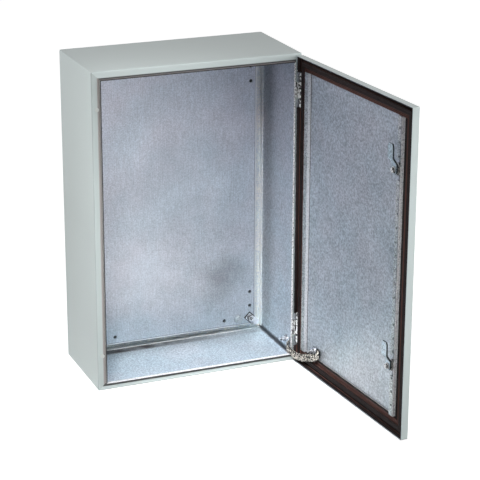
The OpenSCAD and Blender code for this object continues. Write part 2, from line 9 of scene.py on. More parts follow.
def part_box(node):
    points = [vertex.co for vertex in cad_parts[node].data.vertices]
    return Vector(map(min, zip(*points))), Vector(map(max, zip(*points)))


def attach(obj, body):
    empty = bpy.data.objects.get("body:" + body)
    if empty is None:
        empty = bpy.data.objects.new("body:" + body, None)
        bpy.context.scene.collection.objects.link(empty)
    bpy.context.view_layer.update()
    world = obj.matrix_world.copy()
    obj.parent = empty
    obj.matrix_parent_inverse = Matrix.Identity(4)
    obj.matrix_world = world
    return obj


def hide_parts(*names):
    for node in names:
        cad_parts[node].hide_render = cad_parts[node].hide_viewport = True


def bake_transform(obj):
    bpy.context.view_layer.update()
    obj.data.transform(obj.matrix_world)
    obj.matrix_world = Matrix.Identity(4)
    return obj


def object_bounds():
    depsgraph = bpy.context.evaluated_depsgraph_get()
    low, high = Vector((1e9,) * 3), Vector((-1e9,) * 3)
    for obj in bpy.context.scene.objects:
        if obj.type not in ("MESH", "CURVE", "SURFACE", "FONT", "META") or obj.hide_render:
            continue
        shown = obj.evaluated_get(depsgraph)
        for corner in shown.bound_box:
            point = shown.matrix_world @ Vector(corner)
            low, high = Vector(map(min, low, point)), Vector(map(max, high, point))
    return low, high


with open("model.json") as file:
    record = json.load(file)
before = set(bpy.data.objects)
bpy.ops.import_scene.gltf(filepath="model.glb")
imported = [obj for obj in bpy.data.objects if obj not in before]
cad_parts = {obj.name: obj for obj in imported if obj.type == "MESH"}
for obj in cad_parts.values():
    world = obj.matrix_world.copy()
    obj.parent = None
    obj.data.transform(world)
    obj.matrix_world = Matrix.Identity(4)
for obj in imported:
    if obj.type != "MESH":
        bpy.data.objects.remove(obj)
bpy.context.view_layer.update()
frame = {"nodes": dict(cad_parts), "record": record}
nodes = frame["nodes"]
scene = bpy.context.scene
scene.view_settings.view_transform = "Standard"

# ---- Sizes: some from the imported record and the nodes' boxes, the rest given ----

MM = 0.001
joints = {j["name"]: j for j in frame["record"]["behaviour"]["joints"]}
hinge_at = Vector(joints["door_hinge"]["pos_m"])
door_open = math.radians(-joints["door_hinge"]["range_deg"][0])
half_w = -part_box("left_side")[0].x
half_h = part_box("top_wall")[1].z
body_d = 184 * MM
door_d = 16 * MM
skin = body_d + door_d
sheet = 1.5 * MM
bend_r = 2.5 * MM
flange_w = 14.4 * MM
door_w, door_h = 2 * half_w - 2 * MM, 2 * half_h - 6 * MM
# Walls of the two rails, in mm from the middle of the shut door. The hinge rail's is its wall
# nearer the free edge
LOCK_RAIL = (157, 144)
HINGE_RAIL = 166

# Axes of the shut door, as they lie with the door at rest: across, forwards (out of the opening)
turn = Matrix.Rotation(door_open, 3, "Z")
AX = turn @ Vector((1, 0, 0))
AV = turn @ Vector((0, -1, 0))


def door_point(x, v, z):
    """A point given on the shut door, where the door stands at rest. x across, v forwards."""
    return hinge_at + turn @ (Vector((x, -v, z)) - Vector((hinge_at.x, hinge_at.y, 0)))


# ---- Nodes of a material ----


class Graph:
    """Short hand for a procedural material."""

    def __init__(self, name):
        self.mat = bpy.data.materials.new(name)
        self.mat.use_nodes = True
        self.tree = self.mat.node_tree
        self.tree.nodes.clear()
        self.out = self.tree.nodes.new("ShaderNodeOutputMaterial")
        self.bsdf = self.tree.nodes.new("ShaderNodeBsdfPrincipled")
        self.tree.links.new(self.bsdf.outputs[0], self.out.inputs[0])
        self.obj = self.tree.nodes.new("ShaderNodeTexCoord").outputs["Object"]

    def put(self, socket, value):
        if isinstance(value, bpy.types.NodeSocket):
            self.tree.links.new(value, socket)
        elif isinstance(value, tuple) and len(value) == 3 and socket.type == "RGBA":
            socket.default_value = (*value, 1)
        else:
            socket.default_value = value

    def add(self, kind, inputs=(), out=0, **props):
        node = self.tree.nodes.new(kind)
        for key, value in props.items():
            setattr(node, key, value)
        for key, value in dict(inputs).items():
            self.put(node.inputs[key], value)
        return node.outputs[out]

    def math(self, op, a, b=0.0, clamp=False):
        return self.add("ShaderNodeMath", {0: a, 1: b}, operation=op, use_clamp=clamp)

    def vec(self, op, a, b=(0, 0, 0), out="Vector"):
        return self.add("ShaderNodeVectorMath", {0: a, 1: b}, out, operation=op)

    def dot(self, a, b):
        return self.vec("DOT_PRODUCT", a, b, "Value")

    def noise(self, scale, detail=2.0, rough=0.5, at=None, distort=0.0):
        return self.add("ShaderNodeTexNoise", {"Vector": at or self.obj, "Scale": scale,
                        "Detail": detail, "Roughness": rough, "Distortion": distort}, "Fac")

    def cells(self, scale, at):
        return self.add("ShaderNodeTexVoronoi", {"Vector": at, "Scale": scale}, "Color")

    def span(self, value, a, b, to_a=0.0, to_b=1.0, smooth=False):
        node = self.tree.nodes.new("ShaderNodeMapRange")
        node.interpolation_type = "SMOOTHSTEP" if smooth else "LINEAR"
        for key, v in zip(("Value", "From Min", "From Max", "To Min", "To Max"),
                          (value, a, b, to_a, to_b)):
            self.put(node.inputs[key], v)
        return node.outputs[0]

    def mix(self, fac, a, b, mode="MIX"):
        node = self.tree.nodes.new("ShaderNodeMix")
        node.data_type = "RGBA"
        node.blend_type = mode
        self.put(node.inputs[0], fac)
        self.put(node.inputs[6], a)
        self.put(node.inputs[7], b)
        return node.outputs[2]

    def mixf(self, fac, a, b):
        node = self.tree.nodes.new("ShaderNodeMix")
        node.data_type = "FLOAT"
        self.put(node.inputs[0], fac)
        self.put(node.inputs[2], a)
        self.put(node.inputs[3], b)
        return node.outputs[0]

    def times(self, tone, level):
        """tone multiplied by level, a number or a colour."""
        return self.mix(1.0, tone, level, "MULTIPLY")

    def bump(self, height, distance, strength):
        return self.add("ShaderNodeBump", {"Height": height, "Distance": distance,
                                           "Strength": strength})

    def shade(self, **inputs):
        for key, value in inputs.items():
            self.put(self.bsdf.inputs[key.replace("_", " ")], value)
        return self.mat


def srgb(r, g, b):
    """Linear colour of a 0-255 screen colour."""
    out = []
    for c in (r, g, b):
        c /= 255
        out.append(c / 12.92 if c <= 0.04045 else ((c + 0.055) / 1.055) ** 2.4)
    return tuple(out)


PAINT = srgb(205, 216, 215)
ZINC_DARK = srgb(164, 172, 186)
ZINC_LIGHT = srgb(208, 216, 231)
DOOR_DARK = srgb(146, 155, 169)
DOOR_LIGHT = srgb(206, 215, 229)
# Painted highlight, white
HIGHLIGHT_WHITE = srgb(252, 253, 255)
# Painted shade, brown
SHADE_BROWN = srgb(150, 143, 141)
LIP_GREY = srgb(196, 196, 194)
# Dark specks, and painted lines of shade
SPECK_AND_SHADE = srgb(54, 48, 46)
# Painted shade, black
SHADE_BLACK = srgb(38, 36, 36)
# Painted shade in the inner corners and bends
PAINTED_SHADE = srgb(58, 60, 68)
# Grime in streaks, and painted shade and shadow
GRIME_AND_SHADE = srgb(76, 66, 66)


def rounded_depth(g, point, half, radius):
    """How far a point lies inside the rounded box that the folded sheet fills."""
    q = g.vec("SUBTRACT", g.vec("ABSOLUTE", point), tuple(h - radius for h in half))
    q = g.vec("MAXIMUM", q, (0, 0, 0))
    return g.math("SUBTRACT", radius, g.vec("LENGTH", q, out="Value"))


def axis(g, i):
    """A point's x, y or z."""
    return g.dot(g.obj, tuple(1.0 if k == i else 0.0 for k in range(3)))


def paint_colour(g):
    """Light grey, with painted light: brighter towards the top of the sides and darker to the right
    of the top.
    """
    cloud = g.noise(9, 3)
    grain = g.noise(900, 2)
    tone = g.math("ADD", g.math("MULTIPLY", cloud, 0.05), g.math("MULTIPLY", grain, 0.03))
    paint = g.mix(tone, PAINT, tuple(c * 0.55 for c in PAINT))
    normal = g.add("ShaderNodeTexCoord", out="Normal")
    sideways = g.span(g.math("ABSOLUTE", g.dot(normal, (1, 0, 0))), 0.5, 0.8)
    upward = g.span(g.dot(normal, (0, 0, 1)), 0.5, 0.8)
    # Painted light: side faces brighter towards the top, and upward faces darker to the right
    level = g.mixf(sideways, 1.0, g.span(axis(g, 2), 0.0, 0.29, 0.98, 1.24))
    level = g.mixf(upward, level, g.span(axis(g, 0), -0.15, 0.15, 0.99, 0.85))
    return g.times(paint, level)


def paint_height(g):
    return g.noise(420, 3, 0.55)


def painted_crease_shade(g, reach=4 * MM, low=0.45):
    """Painted shade: darker where surfaces meet, from an ambient occlusion node."""
    node = g.tree.nodes.new("ShaderNodeAmbientOcclusion")
    node.samples = 6
    node.inputs["Distance"].default_value = reach
    return g.span(node.outputs["AO"], 0.35, 0.8, low, 1.0, smooth=True)


def total(g, *terms):
    """Sum of weight * (value - 0.5) over the terms, about 0.5."""
    out = 0.5
    for value, weight in terms:
        out = g.math("ADD", out, g.math("MULTIPLY", g.math("SUBTRACT", value, 0.5), weight))
    return out


def light_by_height(g, tone, low, high):
    """Painted light by height: tone times low near the floor, and times high near the top."""
    return g.times(tone, g.span(axis(g, 2), -0.26, 0.26, low, high))


def paint_with_crease_shade(g):
    """Paint with painted shade in its creases."""
    return g.times(paint_colour(g), painted_crease_shade(g, 3 * MM, 0.7))


def bare(g, depth):
    """0 on a sheet's painted outer side and 1 on its inner side, by depth into the sheet."""
    return g.span(depth, 0.70 * MM, 0.80 * MM)


def zinc_parts(g, spangle, contrast, dark=ZINC_DARK, light=ZINC_LIGHT, reach=4 * MM, low=0.45):
    """Colour, roughness and height of galvanised sheet. reach and low are for the painted shade in
    its creases.
    """
    warp = g.add("ShaderNodeTexNoise", {"Vector": g.obj, "Scale": 340.0, "Detail": 2.0}, "Color")
    warp = g.vec("ADD", g.obj, g.vec("MULTIPLY", warp, (0.002, 0.002, 0.002)))
    big = g.dot(g.cells(spangle, at=warp), (0.4, 0.35, 0.25))
    small = g.dot(g.cells(spangle * 2.2, at=warp), (0.25, 0.35, 0.4))
    worm = g.span(g.noise(1.3 * spangle, 1.5, 0.5, distort=0.6), 0.34, 0.66, smooth=True)
    cloud = g.noise(14, 4, 0.6)
    fleck = g.noise(1500, 3, 0.7)
    tone = total(g, (big, 0.45 * contrast), (small, 0.3 * contrast), (worm, 0.62 * contrast),
                 (cloud, 0.7), (fleck, 0.2 * contrast))
    colour = g.mix(g.math("MAXIMUM", tone, 0.0, clamp=True), dark, light)
    # Chromate tint in clouds; and painted light, a tint by height that is warmer towards the top
    colour = g.times(colour, g.mix(g.span(g.noise(11, 3), 0.38, 0.62), (1.025, 0.99, 0.985),
                                   (0.975, 1.005, 1.005)))
    colour = g.times(colour, g.mix(g.span(axis(g, 2), -0.25, 0.28), (0.99, 1.0, 0.935),
                                   (1.02, 0.985, 0.965)))
    # Painted shade in the creases
    colour = g.times(colour, painted_crease_shade(g, reach, low))
    rough = g.span(big, 0.2, 0.8, 0.32, 0.44)
    height = total(g, (big, 0.5), (worm, 0.5), (fleck, 0.3))
    return colour, rough, height


def wall_depth(g):
    """How far a point lies inside the body's outer surface."""
    p = g.vec("ADD", g.obj, (0, body_d / 2, 0))
    return rounded_depth(g, p, (half_w, body_d / 2, half_h), bend_r)


def band(g, value, a, b, soft):
    """1 between a and b, falling to 0 within soft outside them."""
    up = g.span(value, a - soft, a, smooth=True)
    down = g.span(value, b, b + soft, 1.0, 0.0, smooth=True)
    return g.math("MULTIPLY", up, down)


def far_from(g, x, z, at):
    """Distance, seen from the front, from a point given by its x and z."""
    dx, dz = g.math("SUBTRACT", x, at[0]), g.math("SUBTRACT", z, at[1])
    return g.math("SQRT", g.math("ADD", g.math("POWER", dx, 2.0), g.math("POWER", dz, 2.0)))


def corner_shaded(g, zc, shade_width, spread_shade):
    """zc with painted shade: dark lines along the inner corners, darkening that spreads from them
    in patches, and a painted shadow near the top, in patches.
    """
    from_side = g.math("SUBTRACT", half_w - sheet, g.math("ABSOLUTE", axis(g, 0)))
    from_end = g.math("SUBTRACT", half_h - sheet, g.math("ABSOLUTE", axis(g, 2)))
    from_back = g.math("SUBTRACT", g.math("MULTIPLY", axis(g, 1), -1.0), sheet)
    # Painted shade along the inner corners
    upright = g.math("MULTIPLY", g.math("MAXIMUM", from_side, from_back), 0.6)
    lying = g.math("MAXIMUM", from_end, from_back)
    joint = g.math("MAXIMUM", from_side, from_end)
    wobble = g.span(g.noise(90, 3), 0.3, 0.7, 0.8, 1.25)
    line = g.math("MINIMUM", g.math("MINIMUM", upright, lying),
                  g.math("MULTIPLY", g.math("MULTIPLY", joint, 1.2 * MM / shade_width), wobble))
    zc = g.mix(g.span(line, 0.7 * MM, 1.7 * MM, 0.85, 0.0, smooth=True), zc, PAINTED_SHADE)
    # Painted shade that spreads from the corners in patches
    spread = g.math("MULTIPLY", g.span(joint, 0.0, 70 * MM, 1.0, 0.0, smooth=True),
                    g.span(g.noise(22, 4, 0.6), 0.45, 0.75))
    zc = g.mix(g.math("MULTIPLY", spread, spread_shade), zc, PAINTED_SHADE)
    # Painted shadow under the top wall, in patches
    shadow_under_top = g.span(axis(g, 2), half_h - 34 * MM, half_h - 4 * MM, smooth=True)
    patches = g.span(g.noise(60, 3), 0.3, 0.65, 0.25, 0.6)
    return g.mix(g.math("MULTIPLY", shadow_under_top, patches), zc, GRIME_AND_SHADE)


def shaded_floor(g, zc, metal, shade):
    """zc and metal with a painted shadow under the plate's edge, most at the left, and a painted
    dark line of shade at the front edge.
    """
    v = g.math("MULTIPLY", axis(g, 1), -1.0)
    from_back = g.math("SUBTRACT", v, sheet)
    # Painted shadow on the floor in front of the back wall, under the plate's edge
    plate_shadow = g.math("MULTIPLY", g.span(from_back, 24 * MM, 34 * MM, 1.0, 0.0, smooth=True),
                   g.span(axis(g, 0), -0.05, 0.15, shade, shade * 0.25))
    patches = g.span(g.noise(45, 3), 0.3, 0.6, 0.75, 1.0)
    zc = g.mix(g.math("MULTIPLY", plate_shadow, patches), zc, srgb(44, 36, 38))
    # Painted shade line where the floor meets the front flange
    zc = g.mix(g.span(v, body_d - 3.8 * MM, body_d - 3.2 * MM, 0.0, 0.75), zc, PAINTED_SHADE)
    return zc, g.math("MULTIPLY", g.math("SUBTRACT", 1.0, plate_shadow), metal)


def wall_material(name, dark=ZINC_DARK, light=ZINC_LIGHT, metal=0.62, shade_width=2.0 * MM, spread_shade=0.3,
                  shade=0.0):
    """Painted outside, bare galvanised inside, with the lip round the opening."""
    g = Graph(name)
    v = g.math("MULTIPLY", axis(g, 1), -1.0)
    inner = bare(g, wall_depth(g))
    zc, zr, zh = zinc_parts(g, 250.0, 1.3, dark, light)
    # Painted light: the right wall's zinc brighter near the floor and darker near the top
    zc = g.mix(g.span(axis(g, 0), 0.18, 0.19), zc, light_by_height(g, zc, 1.15, 0.86))
    zc = corner_shaded(g, zc, shade_width, spread_shade)
    if shade:
        zc, metal = shaded_floor(g, zc, metal, shade)
    # across and along are distances from the opening's edges into the flange
    across = g.math("SUBTRACT", g.math("ABSOLUTE", axis(g, 0)), half_w - flange_w)
    along = g.math("SUBTRACT", g.math("ABSOLUTE", axis(g, 2)), half_h - flange_w)
    from_opening = g.math("MAXIMUM", across, along)
    upright_run = g.span(g.math("SUBTRACT", across, along), -0.1 * MM, 0.1 * MM)
    lying_run = g.math("SUBTRACT", 1.0, upright_run)
    left = g.math("MULTIPLY", upright_run, g.span(axis(g, 0), -1 * MM, 1 * MM, 1.0, 0.0))
    top = g.math("MULTIPLY", lying_run, g.span(axis(g, 2), -1 * MM, 1 * MM))
    low = g.math("MULTIPLY", lying_run, g.span(axis(g, 2), -1 * MM, 1 * MM, 1.0, 0.0))
    dull = g.math("MAXIMUM", left, top)
    # Painted light on the lip: bright white with specks at the right and below, where it is lit;
    # painted shade in brown at the left; dull grey at the top; and painted dark lines of shade at
    # the rim at the left and top, and at the foot all round
    lip = g.span(v, body_d + 0.15 * MM, body_d + 0.35 * MM)
    speck = g.span(g.noise(430, 2), 0.5, 0.62, 0.0, 0.75)
    bright = g.mix(g.math("MULTIPLY", speck, g.mixf(low, 1.0, 0.35)), HIGHLIGHT_WHITE, SPECK_AND_SHADE)
    lip_colour = g.mix(dull, bright, g.mix(left, SHADE_BROWN, LIP_GREY))
    rim = g.span(v, body_d + 4.2 * MM, body_d + 4.6 * MM)
    lip_colour = g.mix(g.math("MULTIPLY", rim, dull), lip_colour, srgb(30, 28, 30))
    foot = g.span(v, body_d + 0.9 * MM, body_d + 1.3 * MM, 1.0, 0.0)
    lip_colour = g.mix(g.math("MULTIPLY", foot, 0.8), lip_colour, SPECK_AND_SHADE)
    # Painted shade: a dark line where the flange meets the lip, brown at the left
    on_flange = g.span(v, body_d - 3 * MM, body_d - 1.5 * MM)
    reach = g.mixf(low, g.mixf(left, 2.7 * MM, 4.0 * MM), 6.6 * MM)
    root = g.span(g.math("SUBTRACT", from_opening, reach), -0.3 * MM, 0.3 * MM, 1.0, 0.0)
    root = g.math("MULTIPLY", root, on_flange)
    painted = g.mix(g.math("MULTIPLY", root, 0.92), paint_colour(g),
                    g.mix(left, SHADE_BLACK, SHADE_BROWN))
    # Painted shade in the paint's creases
    painted = g.times(painted, painted_crease_shade(g, 3 * MM, 0.7))
    # Painted shade: the left flange's paint no lighter than 0.8 of the paint colour
    painted = g.mix(g.math("MULTIPLY", left, on_flange), painted, tuple(c * 0.8 for c in PAINT),
                    "DARKEN")
    return g.shade(Base_Color=g.mix(lip, g.mix(inner, painted, zc), lip_colour),
                   Metallic=g.mixf(lip, g.math("MULTIPLY", inner, metal), 0.08),
                   Roughness=g.mixf(inner, 0.42, zr),
                   Normal=g.bump(g.mixf(inner, paint_height(g), zh), 0.00016, 0.35))


def door_rel(g):
    """Across, depth from the middle, and height on the shut door."""
    mid = door_point(0, (skin + body_d) / 2, 0)
    rel = g.vec("SUBTRACT", g.obj, tuple(mid))
    return g.dot(rel, tuple(AX)), g.dot(rel, tuple(AV)), g.dot(rel, (0, 0, 1))


def door_material(name):
    """Painted outside, bare galvanised inside."""
    g = Graph(name)
    across, depth, up = door_rel(g)
    p = g.add("ShaderNodeCombineXYZ", {0: across, 1: depth, 2: up})
    inside = rounded_depth(g, p, (half_w - 1 * MM, door_d / 2, half_h - 3 * MM), bend_r)
    inner = bare(g, inside)
    # Strong painted shade in the zinc's creases
    zc, zr, zh = zinc_parts(g, 210.0, 1.1, DOOR_DARK, DOOR_LIGHT, 5 * MM, 0.12)
    # Painted highlight: a bright line on the zinc beside the seal. Painted shade: dark outlines
    # along the rails
    from_end = g.math("SUBTRACT", half_h - 3 * MM, g.math("ABSOLUTE", up))
    seal_highlight = band(g, from_end, 26.7 * MM, 28.6 * MM, 0.4 * MM)
    zc = g.mix(g.math("MULTIPLY", seal_highlight, 0.8), zc, HIGHLIGHT_WHITE)
    rail_end = g.span(g.math("ABSOLUTE", up), 0.268, 0.272, 1.0, 0.0)
    for u, strength in ((-LOCK_RAIL[1], 0.6), (HINGE_RAIL, 0.85)):
        gap = g.math("ABSOLUTE", g.math("SUBTRACT", across, u * MM))
        outline = g.span(gap, 1.4 * MM, 2.4 * MM, strength, 0.0, smooth=True)
        zc = g.mix(g.math("MULTIPLY", outline, rail_end), zc, SPECK_AND_SHADE)
    # The paint has painted shade in its creases
    return g.shade(Base_Color=g.mix(inner, paint_with_crease_shade(g), zc),
                   Metallic=g.math("MULTIPLY", inner, 0.5), Roughness=g.mixf(inner, 0.42, zr),
                   Normal=g.bump(g.mixf(inner, paint_height(g), zh), 0.00016, 0.35))


def zinc_material(name, spangle, contrast, metal, dark, light):
    g = Graph(name)
    colour, rough, height = zinc_parts(g, spangle, contrast, dark, light)
    return g.shade(Base_Color=colour, Metallic=metal, Roughness=rough,
                   Normal=g.bump(height, 0.00015, 0.3))


def rail_material(name):
    """Each rail has a painted highlight on one wall, and the lock rail a painted dark line of shade
    beside it.
    """
    g = Graph(name)
    across, depth, up = door_rel(g)
    zc, zr, zh = zinc_parts(g, 380.0, 2.0, srgb(132, 140, 150), srgb(218, 226, 234), 4 * MM, 0.15)
    lock_side = g.span(across, -1 * MM, 1 * MM, 1.0, 0.0)
    off_wall = g.math("MINIMUM", g.math("ABSOLUTE", g.math("ADD", across, LOCK_RAIL[0] * MM)),
                      g.math("ABSOLUTE", g.math("SUBTRACT", across, HINGE_RAIL * MM)))
    # Painted highlight on one wall of each rail
    bright = g.span(off_wall, 0.9 * MM, 1.3 * MM, 1.0, 0.0)
    speck = g.span(g.noise(420, 2), 0.52, 0.62, 0.0, 0.5)
    # Painted shade: a dark line beside the lock rail's wall
    beside_shade = g.span(off_wall, 2.6 * MM, 3.4 * MM, 0.75, 0.0)
    zc = g.mix(g.math("MULTIPLY", beside_shade, lock_side), zc, SPECK_AND_SHADE)
    wall = g.mix(lock_side, srgb(206, 209, 214), srgb(250, 252, 254))
    zc = g.mix(bright, zc, g.mix(speck, wall, srgb(120, 126, 134)))
    return g.shade(Base_Color=zc, Metallic=g.mixf(bright, 0.45, 0.1), Roughness=zr,
                   Normal=g.bump(zh, 0.00015, 0.3))


plate_lo, plate_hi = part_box("mounting_plate")


def inside_plate(g):
    """How far a point lies inside the plate's outline."""
    mid, half = (plate_lo + plate_hi) / 2, (plate_hi - plate_lo) / 2
    x = g.math("SUBTRACT", half.x, g.math("ABSOLUTE", g.math("SUBTRACT", axis(g, 0), mid.x)))
    z = g.math("SUBTRACT", half.z, g.math("ABSOLUTE", g.math("SUBTRACT", axis(g, 2), mid.z)))
    return g.math("MINIMUM", x, z)


def tab_shade_line(g):
    """1 in a painted dark line of shade round the earth terminal's tab."""
    lo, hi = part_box("plate_earth_washer")
    x = g.math("SUBTRACT", axis(g, 0), (lo.x + hi.x) / 2)
    z = g.math("SUBTRACT", axis(g, 2), (lo.z + hi.z) / 2)
    slant = math.sqrt(0.5)  # the tab points down to the right, at 45 degrees
    along = g.math("MULTIPLY", g.math("SUBTRACT", x, z), slant)
    across = g.math("MULTIPLY", g.math("ADD", x, z), slant)
    past_end = g.math("SUBTRACT", g.math("ABSOLUTE", g.math("SUBTRACT", along, 7 * MM)), 14 * MM)
    past_side = g.math("SUBTRACT", g.math("ABSOLUTE", across), 6.5 * MM)
    return g.span(g.math("MAXIMUM", past_end, past_side), 1.6 * MM, 2.4 * MM, 0.95, 0.0)


def back_material(name):
    """Painted outside; bare zinc inside, painted dark with shade behind the plate."""
    g = Graph(name)
    # Painted light: the back's zinc is lighter than the walls' zinc
    zc, zr, zh = zinc_parts(g, 300.0, 1.3, srgb(220, 230, 246), srgb(250, 253, 255), 2.5 * MM,
                            0.6)
    # Painted shade: dark behind the plate, and a dark line round the earth tab
    shade_behind_plate = g.span(inside_plate(g), -7 * MM, -4 * MM)
    zc = g.mix(tab_shade_line(g), zc, SPECK_AND_SHADE)
    zc = g.mix(shade_behind_plate, zc, (0.028, 0.028, 0.032))
    inner = bare(g, wall_depth(g))
    # The paint has painted shade in its creases
    return g.shade(Base_Color=g.mix(inner, paint_with_crease_shade(g), zc),
                   Metallic=g.math("MULTIPLY", inner, g.mixf(shade_behind_plate, 0.15, 0.0)),
                   Roughness=g.mixf(inner, 0.42, zr),
                   Normal=g.bump(g.mixf(inner, paint_height(g), zh), 0.00015, 0.3))


def plate_material(name):
    """Galvanised sheet with streaks, painted patches of reflection and shade, a painted shadow
    under its top, and a painted highlight and dark line at its cut edge.
    """
    g = Graph(name)
    zc, zr, zh = zinc_parts(g, 300.0, 0.7, srgb(158, 166, 180), srgb(212, 220, 236))
    x, z = axis(g, 0), axis(g, 2)
    # Drawn streaks that run up the sheet
    streak = g.noise(1.0, 3, 0.6, at=g.vec("MULTIPLY", g.obj, (420, 1, 30)))
    zc = g.mix(g.span(streak, 0.35, 0.7, 0.0, 0.2), zc, GRIME_AND_SHADE)
    # Cloudy patches painted in place of reflections and shade: dark at the lower right, blue-grey
    # in the middle, light at the lower left
    for at, size, depth, colour in (((0.112, -0.178), 0.07, 0.4, GRIME_AND_SHADE),
                                    ((0.0, 0.03), 0.16, 0.22, srgb(146, 160, 172)),
                                    ((-0.06, -0.15), 0.11, 0.22, srgb(226, 222, 232))):
        shift = g.span(g.noise(16, 4, 0.6), 0.3, 0.7, -0.35 * size, 0.35 * size)
        ragged = g.math("ADD", far_from(g, x, z, at), shift)
        zc = g.mix(g.span(ragged, 0.0, size, depth, 0.0, smooth=True), zc, colour)
    # Painted shadow under the top wall, in patches
    plate_top_shadow = g.math("MULTIPLY", g.span(z, plate_hi.z - 42 * MM, plate_hi.z, smooth=True),
                   g.span(g.noise(70, 3), 0.35, 0.65, 0.1, 0.45))
    zc = g.mix(plate_top_shadow, zc, GRIME_AND_SHADE)
    # Painted highlight at the cut edge, with a painted dark line of shade just inside it
    edge = inside_plate(g)
    line = band(g, edge, 1.6 * MM, 2.4 * MM, 0.4 * MM)
    zc = g.mix(g.math("MULTIPLY", line, 0.6), zc, SPECK_AND_SHADE)
    zc = g.mix(g.span(edge, 1.0 * MM, 1.4 * MM, 0.8, 0.0), zc, HIGHLIGHT_WHITE)
    # Painted shade round the four fixings and the earth tab
    washer_r = 4 * MM
    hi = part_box("plate_washers")[1]
    for sx in (-1, 1):
        for sz in (-1, 1):
            far = far_from(g, x, z, (sx * (hi.x - washer_r), sz * (hi.z - washer_r)))
            ring = g.span(far, washer_r + 1.2 * MM, washer_r + 2.6 * MM, 0.8, 0.0, smooth=True)
            zc = g.mix(ring, zc, SPECK_AND_SHADE)
    zc = g.mix(tab_shade_line(g), zc, SPECK_AND_SHADE)
    # Painted light: the plate darker near the floor and brighter near the top
    return g.shade(Base_Color=light_by_height(g, zc, 0.9, 1.13), Metallic=0.62, Roughness=zr,
                   Normal=g.bump(zh, 0.00012, 0.3))


def fine_metal(g, tone, metal, rough):
    """Smooth plated metal of that tone, with a fine uneven skin."""
    return g.shade(Base_Color=tone, Metallic=metal,
                   Roughness=g.span(g.noise(260, 2), 0.3, 0.7, rough * 0.75, rough * 1.3),
                   Normal=g.bump(g.noise(700, 3, 0.6), 0.00006, 0.3))


def fitting_material(name, colour, metal, rough=0.3, specks=0.5, scale=450.0, face=None,
                     spare=0.35):
    """Small plated steel parts: bright, with painted shade in the creases, and dark in spots. face
    is the direction of the bright faces, and the others are painted dark with shade. A smaller
    spare gives more spots."""
    g = Graph(name)
    dark = tuple(c * 0.05 for c in colour)
    spot = g.span(g.noise(scale, 2, 0.5), 0.5 + spare * 0.1, 0.56 + spare * 0.1, 0.0, specks)
    tone = g.mix(spot, colour, dark)
    if face is not None:
        # Painted shade on the faces that turn away from face
        normal = g.add("ShaderNodeTexCoord", out="Normal")
        flat = g.math("ABSOLUTE", g.dot(normal, tuple(face)))
        tone = g.mix(g.span(flat, 0.5, 0.75, 0.92, 0.0), tone, dark)
    # Painted shade in the creases
    return fine_metal(g, g.times(tone, painted_crease_shade(g, 3.5 * MM, 0.05)), metal, rough)


def plated_material(name, colour, rough):
    """Plated metal that is fully metallic."""
    g = Graph(name)
    tone = g.mix(g.span(g.noise(700, 3, 0.6), 0.3, 0.7), tuple(c * 0.72 for c in colour), colour)
    # Painted shade in the creases
    return fine_metal(g, g.times(tone, painted_crease_shade(g, 2.5 * MM, 0.12)), 1.0, rough)


def rubber_material(name, colour, rib_highlight=None):
    """Matt rubber, with a painted highlight in the given colour on the ribs' tops."""
    g = Graph(name)
    fine = g.noise(1100, 3, 0.6)
    dust = g.noise(60, 4, 0.6)
    blot = g.noise(420, 2, 0.5)
    tone = g.mix(g.span(dust, 0.35, 0.75), colour, tuple(c * 2.0 for c in colour))
    tone = g.mix(g.span(blot, 0.55, 0.7, 0.0, 0.5), tone, tuple(c * 4.0 for c in colour))
    if rib_highlight:
        across, depth, up = door_rel(g)
        level = g.math("ADD", depth, (skin + body_d) / 2)
        # Painted highlight on the ribs' tops
        tone = g.mix(band(g, level, 192.2 * MM, 194.0 * MM, 0.3 * MM), tone, rib_highlight)
    return g.shade(Base_Color=tone, Roughness=g.span(fine, 0.3, 0.7, 0.55, 0.75),
                   Specular_IOR_Level=0.12, Normal=g.bump(fine, 0.0001, 0.5))


def plastic_material(name, colour):
    g = Graph(name)
    grain = g.noise(800, 2)
    tone = g.mix(g.span(grain, 0.3, 0.7), tuple(c * 0.9 for c in colour), colour)
    return g.shade(Base_Color=tone, Roughness=0.45, Normal=g.bump(grain, 0.00008, 0.25))


wall_mat = wall_material("painted_wall")
# Painted light: the floor's zinc is lighter than the walls' zinc
floor_wall_mat = wall_material("painted_floor_wall", srgb(172, 184, 202), srgb(224, 235, 251), 0.45,
                               5 * MM, 0.15, shade=1.0)
side_wall_mat = wall_material("painted_side_wall", shade_width=7 * MM, spread_shade=0.35)
door_mat = door_material("painted_door")
back_mat = back_material("galvanised_back")
plate_mat = plate_material("galvanised_plate")
rail_mat = rail_material("galvanised_rail")
dull_mat = zinc_material("dull_zinc", 500.0, 0.6, 0.5, srgb(140, 146, 156), srgb(190, 197, 208))
terminal_mat = fitting_material("earth_terminal", srgb(236, 240, 244), 0.2, specks=1.0, scale=260.0,
                                face=(0, 1, 0), spare=0.0)
tab_mat = fitting_material("earth_tab", srgb(206, 212, 220), 0.1, specks=0.1, face=(0, 1, 0))
cam_mat = fitting_material("lock_cam", srgb(196, 214, 226), 0.35, specks=0.35, scale=300.0, face=AV)
screw_mat = fitting_material("lock_fixings", srgb(253, 254, 255), 0.0, specks=1.0, scale=240.0,
                             face=AV, spare=0.0)
hinge_mat = fitting_material("hinge_plating", srgb(253, 254, 255), 0.1, specks=1.0, scale=200.0,
                             spare=0.0)
bright_mat = plated_material("bright_zinc", srgb(222, 224, 228), 0.24)
nickel_mat = plated_material("nickel", srgb(205, 203, 198), 0.3)
rubber_mat = rubber_material("seal_rubber", (0.011, 0.0072, 0.007), srgb(96, 68, 62))
plug_mat = plastic_material("grey_plug", srgb(200, 205, 202))
braid_mat = fitting_material("tinned_braid", srgb(252, 247, 236), 0.1, 0.4, 1.0, 320.0, spare=-0.45)
